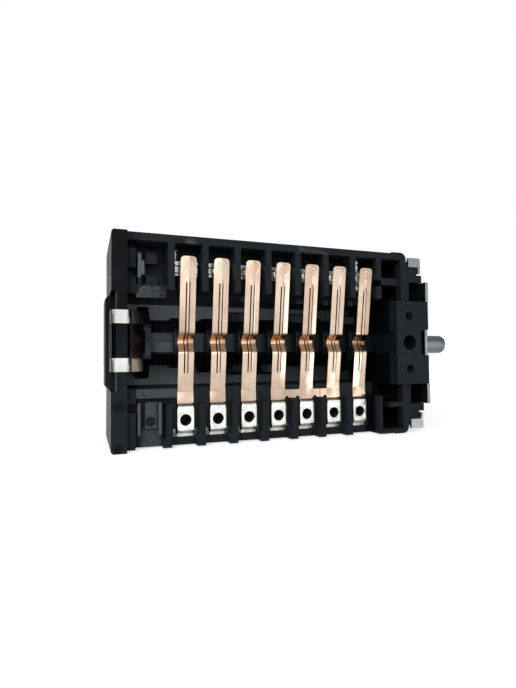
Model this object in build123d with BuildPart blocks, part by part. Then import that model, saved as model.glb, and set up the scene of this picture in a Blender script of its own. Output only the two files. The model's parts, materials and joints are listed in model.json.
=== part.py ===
from build123d import *
from math import cos, hypot, radians, sin
import os

# Oven selector switch
# Origin at the centre of the mounting face on the shaft axis
# X points out along the shaft, Y away from the open contact side, Z up
# Depths are measured inward from the open front face of the housing

# Driving dimensions
shaft_r = 3.0
bearing_r = 3.4
shaft_reach = 17.6
housing_depth = 29.0
shaft_axis_depth = housing_depth / 2
half_height = 27.0
end_x = -93.6
end_wall = 3.8
end_rise = 0.35
frame_right_x = -7.6
wall = 2.0
run_gap = 0.05
seat_gap = 0.05

# Contact stations
station_count = 7
pitch = 8.8
first_x = -74.6
stations = [first_x + pitch * k for k in range(station_count)]
rib_t = 1.7
cell_w = pitch - rib_t
ribs = [x - pitch / 2 for x in stations] + [stations[-1] + pitch / 2]
rib_foot_z = 13.0

# Drum chamber and the walls above and below it
chamber_half = 12.0
back_inset = 3.0
chamber_back = housing_depth - back_inset
bar_z = 14.4
spare_bar_depth = 2.5
lower_front_depth = 5.4
partition_depth = 2.0
partition_left = 1.05
partition_right = 0.45
foot_left = 1.85
upper_wall_depth = 8.0
tab_room_depth = 10.8
tab_room_low = 14.9
tab_room_high = half_height - wall

# Sheet parts
tab_t = 0.8
tab_w = 6.3
tab_end_depth = housing_depth - back_inset
tab_gap = 0.1
plate_w = 4.45
tongue_w = 3.9
wing_w = 0.75
leaf_w = 4.1
leaf_base_w = 4.3
leaf_t = 0.4
tail_end_depth = 9.0

# Lower terminals
plate_depth = 4.5
plate_h = 6.6
blade_rise = 2.1
lip_h = 1.7
hole_rise = 2.7
blade_low_z = blade_rise - half_height
plate_low_z = blade_low_z + lip_h
plate_top_z = plate_low_z + plate_h
wing_top_z = plate_low_z + 0.4
terminal_hole_r = 1.5
terminal_hole_z = plate_low_z + hole_rise

# Upper fixed contacts
fixed_depth = 3.2
fixed_w = 6.0
fixed_top_z = half_height - 6.0
fixed_low_z = fixed_top_z - 3.8
contact_z = fixed_top_z - 1.2
pad_r = 1.5
pad_t = 0.3
button_r = 1.4
button_t = 0.7

# Drum
drum_core_r = 6.2
cam_base_r = 6.9
cam_r = shaft_axis_depth - 5.3
cam_w = 5.4
journal_r = 3.2
journal_seat_w = 3.0
journal_seat_depth = shaft_axis_depth - 5.5
journal_x = end_x + end_wall + 0.4
star_x0 = -86.4
star_w = 2.9
star_tip_r = shaft_axis_depth - 4.2
star_valley_r = shaft_axis_depth - 5.4
drum_right_x = -14.6
collar_r = 4.6
step_angle = 45.0
shaft_socket = 10.0
flat_depth = 1.2
cut_root = 5.0
cut_reach = 14.0
cut_half = 9.6
outer_flat = 8.5

# Contact leaves
leaf_clearance = 0.15
leaf_top_z = fixed_top_z + 0.8
leaf_top_depth = -0.3
vee_apex_z = 0.0
vee_apex_depth = shaft_axis_depth - cam_r - leaf_t - leaf_clearance
vee_high_z = vee_apex_z + 2.4
vee_high_depth = vee_apex_depth - 2.25
vee_low_z = vee_apex_z - 2.75
vee_low_depth = vee_apex_depth - 1.35
vee_half = 0.65
vee_rise = 0.15
base_depth = lower_front_depth - leaf_t - seat_gap
base_z = plate_top_z + seat_gap
crease_z = base_z + 3.35
slit_w = 0.34
slit_offset = 0.43
slit_top_z = leaf_top_z - 6.5
slit_low_z = -8.3
bridge_top_z = base_z + 3.15
bridge_low_z = base_z + 0.75
seam_gap = 0.14

# Bearing block, cap and nose
bearing_x = -12.25
nose_depth = 1.0
sheet_t = 1.0
panel_half = half_height - 8.4
arm_x = -2.0
ear_half = half_height - 1.0
ear_w = 2.8
ear_end_x = -6.6
lip_x = -1.15
screw_room_x = frame_right_x + 1.7
cap_left_x = -12.2
cap_right_x = -0.65
cap_half = 12.5
cap_t = 1.2
cap_screw_x = -7.6
cap_screw_z = 8.0
screw_z = 14.0
shoulder_x = 0.3
neck_w = 0.6

# Detent spring
spring_t = 0.4
spring_leg_depth = 8.0
rebate_depth = spring_leg_depth + 1.0
end_pad_start = rebate_depth + 0.5
end_pad_end = housing_depth - 6.5
spring_half = 7.6
window_half = 4.2
tongue_half = 3.0
spring_x = end_x - 0.1
tongue_end_x = end_x + 8.65
tongue_end_depth = 4.5


def front(depth):
    """Plane facing the open side at a depth behind the front face"""
    return Plane.XZ.offset(shaft_axis_depth - depth)


def patch(x0, x1, z0, z1, mode=Mode.ADD):
    """Rectangle between two heights and two distances along the shaft"""
    with Locations(((x0 + x1) / 2, (z0 + z1) / 2)):
        Rectangle(x1 - x0, z1 - z0, mode=mode)


def y(depth):
    """Position across the housing of a depth behind the front face"""
    return depth - shaft_axis_depth


os.makedirs("parts", exist_ok=True)

inner_x = end_x + end_wall
spare_x = first_x - pitch
spare_cell_x = inner_x + 2.15
last_rib_x = ribs[-1]
right_cell_x0 = last_rib_x + 0.85
right_cell_x1 = frame_right_x - wall
thin_rib_x = last_rib_x + 0.55
room_top_z = half_height - wall

# Housing
with BuildPart() as housing:
    # Outer block with a slightly taller end wall and bearing end
    with BuildSketch(front(0)) as outline:
        patch(end_x, right_cell_x0, -half_height, half_height)
        patch(end_x, inner_x, -half_height - end_rise, half_height + end_rise)
        patch(right_cell_x0 + 4.0, frame_right_x, -half_height - 0.2, half_height + end_rise)
        patch(right_cell_x0, right_cell_x0 + 4.0, -half_height, half_height)
        chamfer(outline.vertices().group_by(Axis.X)[0], length=0.5)
        fillet(outline.vertices().group_by(Axis.X)[-1], radius=2.0)
    extrude(amount=-housing_depth)
    # Stepped nose that carries the mounting bracket
    with BuildSketch(front(nose_depth)):
        patch(frame_right_x, -sheet_t, 0.2 - panel_half, panel_half - 0.2)
        patch(frame_right_x, arm_x - sheet_t, 1.0 - ear_half, ear_half - 1.0)
    extrude(amount=2 * nose_depth - housing_depth)
    for depth in (nose_depth, housing_depth - nose_depth - wall):
        with BuildSketch(front(depth)):
            patch(frame_right_x, lip_x, -panel_half - 2.3, panel_half + 2.3)
        extrude(amount=-wall)
    with BuildSketch(front(0)):
        patch(frame_right_x, -sheet_t, -cap_half, cap_half)
    extrude(amount=-nose_depth)

    # Drum chamber with the open front
    with BuildSketch(front(0)):
        patch(inner_x, bearing_x, -chamber_half, chamber_half)
    extrude(amount=-chamber_back, mode=Mode.SUBTRACT)

    # Upper contact cells between the ribs, open to the chamber
    with BuildSketch(front(0)):
        for x in stations:
            patch(x - cell_w / 2, x + cell_w / 2, chamber_half - 1.0, room_top_z)
        patch(ribs[0] - rib_t / 2, last_rib_x + rib_t / 2, chamber_half - 1.0, rib_foot_z)
        patch(spare_cell_x, ribs[0] - rib_t / 2, bar_z, room_top_z)
    extrude(amount=-upper_wall_depth, mode=Mode.SUBTRACT)

    # Lower terminal cells, open below, between the partitions
    with BuildSketch(front(0)):
        patch(spare_cell_x, last_rib_x - 0.4, -half_height, -chamber_half)
    extrude(amount=-partition_depth, mode=Mode.SUBTRACT)
    with BuildSketch(front(partition_depth)):
        patch(spare_cell_x, last_rib_x - 0.4, -half_height, -chamber_half)
        for x in ribs[:-1]:
            left = x - partition_left
            right = x + partition_right
            patch(left, right, -half_height, bridge_low_z - 0.3, mode=Mode.SUBTRACT)
            foot = [(x - foot_left, -half_height), (left, -half_height), (left, blade_low_z + 0.5)]
            Polygon(*foot, (x - foot_left, blade_low_z - 0.3), align=None, mode=Mode.SUBTRACT)
    extrude(amount=partition_depth - lower_front_depth, mode=Mode.SUBTRACT)

    # Seats behind the fixed contacts
    with BuildSketch(front(fixed_depth + tab_t)):
        for x in stations:
            patch(x - 2.2, x + 2.2, bar_z, fixed_top_z - tab_t - tab_gap)
    extrude(amount=fixed_depth + tab_t - upper_wall_depth)

    # Rooms at the back for the connectors
    with BuildSketch(front(tab_room_depth)):
        for x in stations:
            for low, high in ((tab_room_low, tab_room_high), (1.0 - half_height, -tab_room_low)):
                patch(x - cell_w / 2, x + cell_w / 2, low, high)
    extrude(amount=tab_room_depth - housing_depth, mode=Mode.SUBTRACT)

    # Slots for the tabs and for the tails of leaves and terminals
    with BuildSketch(front(0)):
        for x in stations:
            half = tab_w / 2 + tab_gap
            patch(x - half, x + half, fixed_top_z - tab_t - tab_gap, fixed_top_z + tab_gap)
            half = leaf_base_w / 2 + tab_gap
            patch(x - half, x + half, plate_top_z - tab_t - tab_gap, base_z + leaf_t + tab_gap)
    extrude(amount=-tail_end_depth - tab_gap, mode=Mode.SUBTRACT)
    with BuildSketch(front(lower_front_depth - 0.1)):
        for x in stations:
            half = tab_w / 2 + tab_gap
            patch(x - half, x + half, blade_low_z - tab_gap, plate_low_z + 0.5)
    extrude(amount=lower_front_depth - plate_depth - 2.1 - tab_gap, mode=Mode.SUBTRACT)
    with BuildSketch(front(lower_front_depth)):
        for x in stations:
            half = tab_w / 2 + tab_gap
            patch(x - half, x + half, fixed_top_z - tab_t - tab_gap, fixed_top_z + tab_gap)
            patch(x - half, x + half, blade_low_z - tab_gap, blade_low_z + tab_t + tab_gap)
    extrude(amount=lower_front_depth - tab_room_depth, mode=Mode.SUBTRACT)

    # Pilot recesses behind the terminals
    with BuildSketch(front(lower_front_depth)):
        with Locations([(x, terminal_hole_z) for x in stations]):
            RegularPolygon(terminal_hole_r, 12)
    extrude(amount=-4.0, mode=Mode.SUBTRACT)

    # Ledge beside the end wall with its notches
    with BuildSketch(front(0)):
        patch(inner_x, spare_cell_x, -half_height, -chamber_half)
        patch(inner_x, spare_cell_x, chamber_half, room_top_z)
    extrude(amount=-partition_depth, mode=Mode.SUBTRACT)
    with BuildSketch(front(0)):
        patch(inner_x, spare_cell_x, room_top_z - 1.6, room_top_z)
        patch(inner_x, spare_cell_x, fixed_low_z - 1.0, fixed_low_z + 1.3)
        patch(inner_x, spare_cell_x, plate_top_z - 1.2, plate_top_z + 1.0)
    extrude(amount=-lower_front_depth, mode=Mode.SUBTRACT)

    # Empty station at the end wall
    with BuildSketch(front(lower_front_depth - 1.0)):
        patch(spare_x - 1.7, spare_x + 1.3, plate_low_z + 1.0, plate_top_z + 1.2)
    extrude(amount=-1.0)
    for side in (-3.8, 1.5):
        with BuildSketch(Plane.XY.offset(plate_low_z - 0.5)):
            left = spare_x + side
            back = y(lower_front_depth)
            ridge = [(left, back), (left, back - 2.0), (left + 0.3, back - 2.6)]
            Polygon(*ridge, (left + 0.7, back - 2.6), (left + 1.0, back - 2.0), (left + 1.0, back), align=None)
        extrude(amount=plate_top_z - plate_low_z + 1.6)
    with BuildSketch(front(lower_front_depth - 1.0)):
        with Locations((spare_x - 0.3, terminal_hole_z)):
            RegularPolygon(1.3, 16)
    extrude(amount=-0.6, mode=Mode.SUBTRACT)
    with BuildSketch(front(3.0)):
        patch(spare_x - 3.7, spare_x - 2.8, bar_z, fixed_top_z + 1.5)
        patch(spare_x - 2.9, spare_x - 2.0, fixed_low_z - 0.2, fixed_top_z - 0.4)
    extrude(amount=3.0 - upper_wall_depth)
    with BuildSketch(front(4.5)):
        patch(spare_x - 1.5, spare_x + 1.4, bar_z, fixed_low_z - 0.3)
        patch(spare_x - 1.5, spare_x + 1.4, fixed_top_z - 0.9, fixed_top_z + 2.2)
    extrude(amount=4.5 - upper_wall_depth)
    with BuildSketch(front(spare_bar_depth)):
        patch(spare_cell_x, stations[0] - 2.6, -bar_z, -chamber_half)
    extrude(amount=spare_bar_depth - lower_front_depth)
    with BuildSketch(front(0)):
        patch(spare_cell_x, ribs[0] - rib_t / 2, chamber_half - 1.0, bar_z)
    extrude(amount=-spare_bar_depth, mode=Mode.SUBTRACT)

    # Cells beside the bearing
    with BuildSketch(front(0)):
        patch(right_cell_x0, right_cell_x1, panel_half + 0.9, room_top_z)
        patch(right_cell_x0, right_cell_x1, cap_half + 0.1, panel_half - 1.2)
        patch(right_cell_x0, bearing_x, chamber_half - 1.0, cap_half + 0.1)
        patch(right_cell_x0, right_cell_x0 + 0.7, panel_half - 1.9, panel_half + 1.0)
        patch(thin_rib_x, right_cell_x1, wall - 0.7 - half_height, -panel_half - 0.7)
        patch(thin_rib_x, right_cell_x1, 0.7 - panel_half, -cap_half - 0.1)
        patch(thin_rib_x, bearing_x, -cap_half - 0.1, 1.0 - chamber_half)
        patch(thin_rib_x, thin_rib_x + 2.3, -panel_half - 0.8, 0.8 - panel_half)
    extrude(amount=-12.0, mode=Mode.SUBTRACT)
    with BuildSketch(front(0)):
        patch(right_cell_x0, right_cell_x1, panel_half - 1.3, panel_half + 1.0)
    extrude(amount=-1.2, mode=Mode.SUBTRACT)
    with BuildSketch(front(0)):
        patch(last_rib_x - rib_t / 2, right_cell_x0, panel_half - 1.9, panel_half)
        patch(last_rib_x - 0.4, thin_rib_x, bridge_low_z, 1.0 - chamber_half)
    extrude(amount=-lower_front_depth, mode=Mode.SUBTRACT)

    # Screw clearances behind the bracket
    with BuildSketch(front(0)):
        for low, high in ((chamber_half + 0.7, panel_half), (-panel_half, -chamber_half - 0.7)):
            patch(screw_room_x, 0, low, high)
    extrude(amount=-20.0, mode=Mode.SUBTRACT)

    # Shaft bearing, open to the front
    with BuildSketch(front(0)):
        patch(bearing_x, 0, -bearing_r - run_gap, bearing_r + run_gap)
    extrude(amount=-shaft_axis_depth, mode=Mode.SUBTRACT)
    with BuildSketch(Plane.YZ.offset(bearing_x)):
        Circle(bearing_r + run_gap)
    extrude(amount=-bearing_x, mode=Mode.SUBTRACT)

    # Screw holes for the bearing cap
    with BuildSketch(front(0)):
        with Locations((cap_screw_x, cap_screw_z), (cap_screw_x, -cap_screw_z)):
            Circle(1.0)
    extrude(amount=-8.0, mode=Mode.SUBTRACT)

    # Journal seat of the drum on the end wall
    with BuildSketch(front(journal_seat_depth)):
        patch(inner_x, inner_x + journal_seat_w, -2 * shaft_r, 2 * shaft_r)
    extrude(amount=journal_seat_depth - chamber_back)
    with BuildSketch(front(journal_seat_depth)):
        patch(inner_x, inner_x + journal_seat_w, -journal_r - run_gap, journal_r + run_gap)
    extrude(amount=journal_seat_depth - shaft_axis_depth, mode=Mode.SUBTRACT)
    with BuildSketch(Plane.YZ.offset(inner_x)):
        Circle(journal_r + run_gap)
    extrude(amount=journal_seat_w, mode=Mode.SUBTRACT)

    # Rebate for the outer leg of the detent spring
    with BuildSketch(front(0)):
        patch(end_x - 1.0, end_x + 1.3, -chamber_half - 0.4, chamber_half + 0.4)
    extrude(amount=-rebate_depth, mode=Mode.SUBTRACT)

    # Raised pad on the end face
    with BuildSketch(Plane.YZ.offset(end_x)):
        with Locations((y((end_pad_start + end_pad_end) / 2), 0)):
            Rectangle(end_pad_end - end_pad_start, 2 * chamber_half + 0.6)
    extrude(amount=-1.0, taper=40)

    # Ejector marks on the end wall
    with BuildSketch(front(0)):
        with Locations((end_x + 1.4, 16.2), (end_x + 1.4, -16.2)):
            RegularPolygon(1.25, 16)
    extrude(amount=-0.2, mode=Mode.SUBTRACT)

housing.part.label = "housing"
export_step(housing.part, "parts/housing.step")

# Bearing cap over the shaft
with BuildPart() as bearing_cap:
    with BuildSketch(front(-cap_t)) as cap_face:
        patch(cap_left_x, cap_right_x, -cap_half, cap_half)
        patch(cap_right_x - 2.7, cap_right_x, -3.9, 3.9, mode=Mode.SUBTRACT)
    extrude(amount=-cap_t)
    with BuildSketch(front(0)):
        patch(cap_left_x, cap_right_x - 2.9, seat_gap - bearing_r, bearing_r - seat_gap)
    extrude(amount=2.1 - shaft_axis_depth)
    with BuildSketch(Plane.YZ.offset(cap_left_x)):
        Circle(bearing_r + run_gap)
    extrude(amount=12.0, mode=Mode.SUBTRACT)
    with BuildSketch(front(-cap_t)):
        with Locations((cap_screw_x, cap_screw_z), (cap_screw_x, -cap_screw_z)):
            Circle(1.25)
        with Locations((cap_screw_x, 0)):
            Circle(2.2)
    extrude(amount=-cap_t - 6.0, mode=Mode.SUBTRACT)
bearing_cap.part.label = "bearing_cap"
export_step(bearing_cap.part, "parts/bearing_cap.step")

# Steel mounting bracket with two tapped holes
bracket_profile = [
    (0, 0), (0, panel_half + 0.3), (arm_x, panel_half + 2.5), (arm_x, ear_half),
    (arm_x - sheet_t, ear_half), (arm_x - sheet_t, panel_half + 2.1), (-sheet_t, panel_half - 0.1), (-sheet_t, 0),
]
with BuildPart() as mounting_bracket:
    with BuildSketch(front(-0.6)) as profile:
        with BuildLine():
            Polyline(*bracket_profile, close=True)
        make_face()
        mirror(about=Plane.XZ)
    extrude(amount=-housing_depth - 0.6)
    with BuildSketch(front(-0.6)):
        patch(-2, 1, -cap_half - 0.1, cap_half + 0.1)
    extrude(amount=-0.65, mode=Mode.SUBTRACT)
    for start, end in ((-0.6, 3.2), (housing_depth - 3.2, housing_depth)):
        with BuildSketch(front(start)):
            for side in (-1, 1):
                with Locations((-2, side * (panel_half + 1.4))):
                    Rectangle(5, 2.8)
        extrude(amount=start - end, mode=Mode.SUBTRACT)
    with BuildSketch(front(-0.6)):
        for side in (-1, 1):
            with Locations((-2, side * (panel_half + 5.4))):
                Rectangle(5, 6)
    extrude(amount=-0.6, mode=Mode.SUBTRACT)
    for depth in (0, housing_depth - sheet_t):
        with BuildSketch(front(depth)):
            for low in (ear_half - ear_w, -ear_half):
                patch(ear_end_x, arm_x, low, low + ear_w)
        extrude(amount=-sheet_t)
    upright = mounting_bracket.edges().filter_by(Axis.Z)
    outer = upright.filter_by(lambda edge: abs(edge.center().X - arm_x) < 0.01)
    chamfer(outer.filter_by(lambda edge: abs(edge.center().Z) > panel_half + 3), length=0.5)
    with BuildSketch(Plane.YZ.offset(-sheet_t)):
        Circle(bearing_r + 0.4)
        with Locations((0, screw_z), (0, -screw_z)):
            Circle(1.65)
    extrude(amount=sheet_t, mode=Mode.SUBTRACT)
mounting_bracket.part.label = "mounting_bracket"
export_step(mounting_bracket.part, "parts/mounting_bracket.step")

# Detent spring clipped over the end wall
spring_path = [
    (spring_x, y(spring_leg_depth)), (spring_x, y(0) - spring_t), (inner_x + 0.3, y(0) - spring_t),
    (tongue_end_x, y(tongue_end_depth)),
]
with BuildPart() as detent_spring:
    with BuildSketch(Plane.XY.offset(-spring_half)) as strip:
        with BuildLine():
            FilletPolyline(*spring_path, radius=0.7)
            offset(amount=spring_t, side=Side.LEFT)
        make_face()
    extrude(amount=2 * spring_half)
    with BuildSketch(front(-2.0)):
        patch(spring_x - 1, inner_x + 0.7, -window_half, window_half)
    extrude(amount=-5.0, mode=Mode.SUBTRACT)
    with BuildSketch(front(-2.0)):
        for side in (-1, 1):
            with Locations((tongue_end_x + 0.4, side * (spring_half + tongue_half) / 2)):
                Rectangle(2.2, spring_half - tongue_half)
    extrude(amount=-8.0, mode=Mode.SUBTRACT)
detent_spring.part.label = "detent_spring"
export_step(detent_spring.part, "parts/detent_spring.step")

# Cam drum: one disc of lobes for each contact leaf, eight positions
programme = ["10001000", "10000100", "10110110", "10000110", "10110000", "10011000", "10100001"]
with BuildPart() as cam_drum:
    with BuildSketch(Plane.YZ.offset(star_x0 + star_w)):
        RegularPolygon(drum_core_r, 8, major_radius=False, rotation=22.5)
    extrude(amount=drum_right_x - star_x0 - star_w)
    for x, lobes in zip(stations, programme):
        with BuildSketch(Plane.YZ.offset(x - cam_w / 2)):
            Circle(cam_r)
            for position, lobe in enumerate(lobes):
                following = lobes[(position + 1) % len(lobes)]
                with Locations(Location((0, 0), 180 - step_angle * position)):
                    if lobe == "0":
                        wedge = [(cut_root, 0), (cut_reach, cut_half), (cut_reach, -cut_half)]
                        Polygon(*wedge, align=None, mode=Mode.SUBTRACT)
                    if lobe == "0" and following == "0":
                        Polygon((0, 0), (cut_reach, -cut_reach), (cut_reach, 0), align=None, mode=Mode.SUBTRACT)
            RegularPolygon(cam_base_r, 8, major_radius=False, rotation=22.5)
        extrude(amount=cam_w)
    # Journal at the end wall and collar at the bearing
    with BuildSketch(Plane.YZ.offset(journal_x)):
        Circle(journal_r)
    extrude(amount=star_x0 + star_w - journal_x)
    with BuildSketch(Plane.YZ.offset(drum_right_x)):
        Circle(collar_r)
    extrude(amount=bearing_x - 0.1 - drum_right_x)
    # Socket for the flatted end of the shaft
    with BuildSketch(Plane.YZ.offset(drum_right_x - shaft_socket)):
        Circle(bearing_r)
        with Locations((bearing_r, 0)):
            Rectangle(2 * flat_depth, 2 * bearing_r, mode=Mode.SUBTRACT)
    extrude(amount=2 * shaft_socket, mode=Mode.SUBTRACT)
cam_drum.part.label = "cam_drum"
export_step(cam_drum.part, "parts/cam_drum.step")

# Detent wheel with eight valleys
with BuildPart() as detent_star:
    with BuildSketch(Plane.YZ.offset(star_x0)):
        outline = []
        for valley in range(8):
            angle = step_angle * valley
            for r, turn in ((star_valley_r, 0), (star_tip_r, step_angle / 2 - 3), (star_tip_r, step_angle / 2 + 3)):
                outline.append((r * cos(radians(angle + turn)), r * sin(radians(angle + turn))))
        Polygon(*outline, align=None)
        Circle(journal_r, mode=Mode.SUBTRACT)
    extrude(amount=star_w)
detent_star.part.label = "detent_star"
export_step(detent_star.part, "parts/detent_star.step")

# Drive shaft with a shoulder at the panel, a round nose and a flat at each end
neck_end_x = shoulder_x + neck_w
shaft_profile = [
    (drum_right_x - shaft_socket, 0), (drum_right_x - shaft_socket, bearing_r), (shoulder_x, bearing_r),
    (shoulder_x, shaft_r - 0.2), (neck_end_x, shaft_r - 0.2), (neck_end_x, shaft_r),
    (shaft_reach - 1.2, shaft_r), (shaft_reach - 0.5, shaft_r - 0.2), (shaft_reach, shaft_r - 1.0), (shaft_reach, 0),
]
with BuildPart() as drive_shaft:
    with BuildSketch(Plane.XY):
        Polygon(*shaft_profile, align=None)
    revolve(axis=Axis.X)
    with BuildSketch(Plane.YZ.offset(shaft_reach - outer_flat)):
        with Locations((shaft_r, 0)):
            Rectangle(2 * flat_depth, 3 * shaft_r)
    extrude(amount=outer_flat, mode=Mode.SUBTRACT)
    with BuildSketch(Plane.YZ.offset(drum_right_x - shaft_socket)):
        with Locations((bearing_r, 0)):
            Rectangle(2 * flat_depth, 3 * bearing_r)
    extrude(amount=shaft_socket + 2.3, mode=Mode.SUBTRACT)
drive_shaft.part.label = "drive_shaft"
export_step(drive_shaft.part, "parts/drive_shaft.step")

# Contact leaves: the side view is bent from one strip
leaf_path = [
    (y(leaf_top_depth), leaf_top_z), (y(vee_high_depth), vee_high_z),
    (y(vee_apex_depth - vee_rise), vee_apex_z + vee_half), (y(vee_apex_depth), vee_apex_z),
    (y(vee_apex_depth - vee_rise), vee_apex_z - vee_half), (y(vee_low_depth), vee_low_z),
    (y(base_depth), crease_z), (y(base_depth), base_z + 0.35), (y(base_depth + 0.35), base_z),
    (y(tail_end_depth), base_z),
]
for name in ("1", "2", "3", "4_5", "6", "7"):
    with BuildPart() as leaf_spring:
        for member in name.split("_"):
            x = stations[int(member) - 1]
            with BuildSketch(Plane.YZ.offset(x - leaf_base_w / 2)):
                with BuildLine():
                    Polyline(*leaf_path)
                    offset(amount=leaf_t, side=Side.LEFT, kind=Kind.INTERSECTION)
                make_face()
            extrude(amount=leaf_base_w)
            # Sides above the crease, cut tip corners and the two slits
            with BuildSketch(front(-1.0)):
                for side in (-1, 1):
                    edge = x + side * leaf_w / 2
                    outer = x + side * leaf_base_w
                    blank = [(edge, crease_z + 0.1), (edge, leaf_top_z - 1.0), (edge - side * 0.3, leaf_top_z - 0.3)]
                    blank += [(edge - side * 1.0, leaf_top_z), (outer, leaf_top_z), (outer, crease_z + 0.1)]
                    Polygon(*blank, align=None)
            extrude(amount=-7.0, mode=Mode.SUBTRACT)
            with BuildSketch(front(0)):
                for side in (-slit_offset, slit_offset):
                    patch(x + side - slit_w / 2, x + side + slit_w / 2, slit_low_z, slit_top_z)
            extrude(amount=-7.0, mode=Mode.SUBTRACT)
        # Copper bridge between neighbours, with relief notches
        if name == "4_5":
            spans = [(stations[3], stations[4]), (stations[4], (stations[4] + stations[5] - seam_gap) / 2)]
        elif name == "6":
            spans = [((stations[4] + stations[5] + seam_gap) / 2, stations[5])]
        else:
            spans = []
        for left, right in spans:
            with BuildSketch(front(base_depth)):
                patch(left, right, bridge_low_z, bridge_top_z)
            extrude(amount=-leaf_t)
        if spans:
            with BuildSketch(front(base_depth - 1)):
                for x in stations[3:5]:
                    for shift in (leaf_base_w / 2 + 0.6, pitch - leaf_base_w / 2 - 0.6):
                        with Locations((x + shift, bridge_low_z)):
                            RegularPolygon(0.55, 8)
            extrude(amount=-2, mode=Mode.SUBTRACT)
    leaf_spring.part.label = f"leaf_spring_{name}"
    export_step(leaf_spring.part, f"parts/leaf_spring_{name}.step")

# Terminals, fixed contacts and the silver contact faces of each station
leaf_slope = (vee_high_depth - leaf_top_depth) / (leaf_top_z - vee_high_z)
leaf_back = leaf_top_depth + leaf_slope * (leaf_top_z - contact_z) + leaf_t * hypot(1, leaf_slope)
terminal_path = [
    (y(tail_end_depth), plate_top_z), (y(plate_depth + 0.4), plate_top_z), (y(plate_depth), plate_top_z - 0.4),
    (y(plate_depth), plate_low_z), (y(plate_depth + 1.0), plate_low_z - 0.9), (y(plate_depth + 1.0), blade_low_z),
    (y(tab_end_depth), blade_low_z),
]
for number, x in enumerate(stations, 1):
    with BuildPart() as terminal:
        with BuildSketch(Plane.YZ.offset(x - tab_w / 2)):
            with BuildLine():
                Polyline(*terminal_path)
                offset(amount=tab_t, side=Side.LEFT, kind=Kind.INTERSECTION)
            make_face()
        extrude(amount=tab_w)
        # Narrow plate with cut corners and a narrower tongue below it
        with BuildSketch(front(plate_depth - 1)):
            for side in (-1, 1):
                half = x + side * plate_w / 2
                tongue = x + side * tongue_w / 2
                outer = x + side * tab_w
                blank = [(tongue, blade_low_z + tab_t), (tongue, plate_low_z), (half, plate_low_z)]
                blank += [(half, plate_top_z - 1.4), (half - side * 0.4, plate_top_z + 1.0)]
                Polygon(*blank, (outer, plate_top_z + 1.0), (outer, blade_low_z + tab_t), align=None)
            with Locations((x, terminal_hole_z)):
                Circle(terminal_hole_r)
        extrude(amount=-6.0, mode=Mode.SUBTRACT)
        # Upright wings beside the tongue
        with BuildSketch(front(plate_depth + 1.0)):
            for side in (-1, 1):
                with Locations((x + side * (tab_w - wing_w) / 2, (blade_low_z + wing_top_z) / 2)):
                    Rectangle(wing_w, wing_top_z - blade_low_z)
        extrude(amount=-tab_t)
    terminal.part.label = f"terminal_{number}"
    export_step(terminal.part, f"parts/terminal_{number}.step")

    with BuildPart() as fixed_contact:
        with BuildSketch(front(fixed_depth)) as plate:
            patch(x - fixed_w / 2, x + fixed_w / 2, fixed_low_z, fixed_top_z)
            for z in (fixed_low_z + 0.7, fixed_low_z + 2.6):
                for side in (-1, 1):
                    with Locations((x + side * (fixed_w / 2 - 0.8), z)):
                        Rectangle(1.7, 0.3, mode=Mode.SUBTRACT)
        extrude(amount=-tab_t)
        with BuildSketch(front(fixed_depth)):
            patch(x - tab_w / 2, x + tab_w / 2, fixed_top_z - tab_t, fixed_top_z)
        extrude(amount=fixed_depth - tab_end_depth)
    fixed_contact.part.label = f"fixed_contact_{number}"
    export_step(fixed_contact.part, f"parts/fixed_contact_{number}.step")

    with BuildPart() as fixed_pad:
        with BuildSketch(front(fixed_depth)):
            with Locations((x, contact_z - 0.6)):
                RegularPolygon(pad_r, 16)
        extrude(amount=pad_t)
    fixed_pad.part.label = f"fixed_pad_{number}"
    export_step(fixed_pad.part, f"parts/fixed_pad_{number}.step")

    with BuildPart() as moving_button:
        with BuildSketch(Plane((x, y(leaf_back), contact_z), (1, 0, 0), (0, 1, leaf_slope))):
            RegularPolygon(button_r, 16)
        extrude(amount=button_t)
    moving_button.part.label = f"moving_button_{number}"
    export_step(moving_button.part, f"parts/moving_button_{number}.step")
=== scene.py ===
import json
import math

import bmesh
import bpy
from mathutils import Matrix, Vector
from mathutils import noise as mathnoise


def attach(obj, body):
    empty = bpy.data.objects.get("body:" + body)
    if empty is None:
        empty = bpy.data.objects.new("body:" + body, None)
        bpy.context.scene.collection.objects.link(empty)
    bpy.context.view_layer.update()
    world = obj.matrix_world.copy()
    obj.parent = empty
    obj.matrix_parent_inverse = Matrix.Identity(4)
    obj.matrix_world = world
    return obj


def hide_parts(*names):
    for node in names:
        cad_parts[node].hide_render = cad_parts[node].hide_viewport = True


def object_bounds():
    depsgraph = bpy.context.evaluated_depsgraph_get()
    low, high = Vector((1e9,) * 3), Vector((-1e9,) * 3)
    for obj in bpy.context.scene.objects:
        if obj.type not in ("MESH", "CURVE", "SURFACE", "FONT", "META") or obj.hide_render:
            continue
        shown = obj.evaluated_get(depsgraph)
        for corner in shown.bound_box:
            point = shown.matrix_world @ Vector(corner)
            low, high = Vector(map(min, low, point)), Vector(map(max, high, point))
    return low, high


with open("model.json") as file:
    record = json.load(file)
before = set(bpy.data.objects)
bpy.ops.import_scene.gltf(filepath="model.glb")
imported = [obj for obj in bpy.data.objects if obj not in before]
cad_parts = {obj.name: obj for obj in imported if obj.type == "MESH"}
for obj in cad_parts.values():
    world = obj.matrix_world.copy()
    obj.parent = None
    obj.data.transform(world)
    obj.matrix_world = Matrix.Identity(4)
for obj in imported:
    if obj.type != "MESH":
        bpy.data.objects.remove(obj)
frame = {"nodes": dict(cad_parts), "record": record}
nodes = frame["nodes"]
cad_low, cad_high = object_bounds()
scene = bpy.context.scene
MM = 0.001

# Driving places of the switch, in millimetres. The shaft runs along X, and FRONT is the Y of the open face
PITCH = 8.8
FIRST_STATION = -74.6
FRONT = -14.5
stations = [FIRST_STATION + PITCH * k for k in range(7)]

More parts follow.
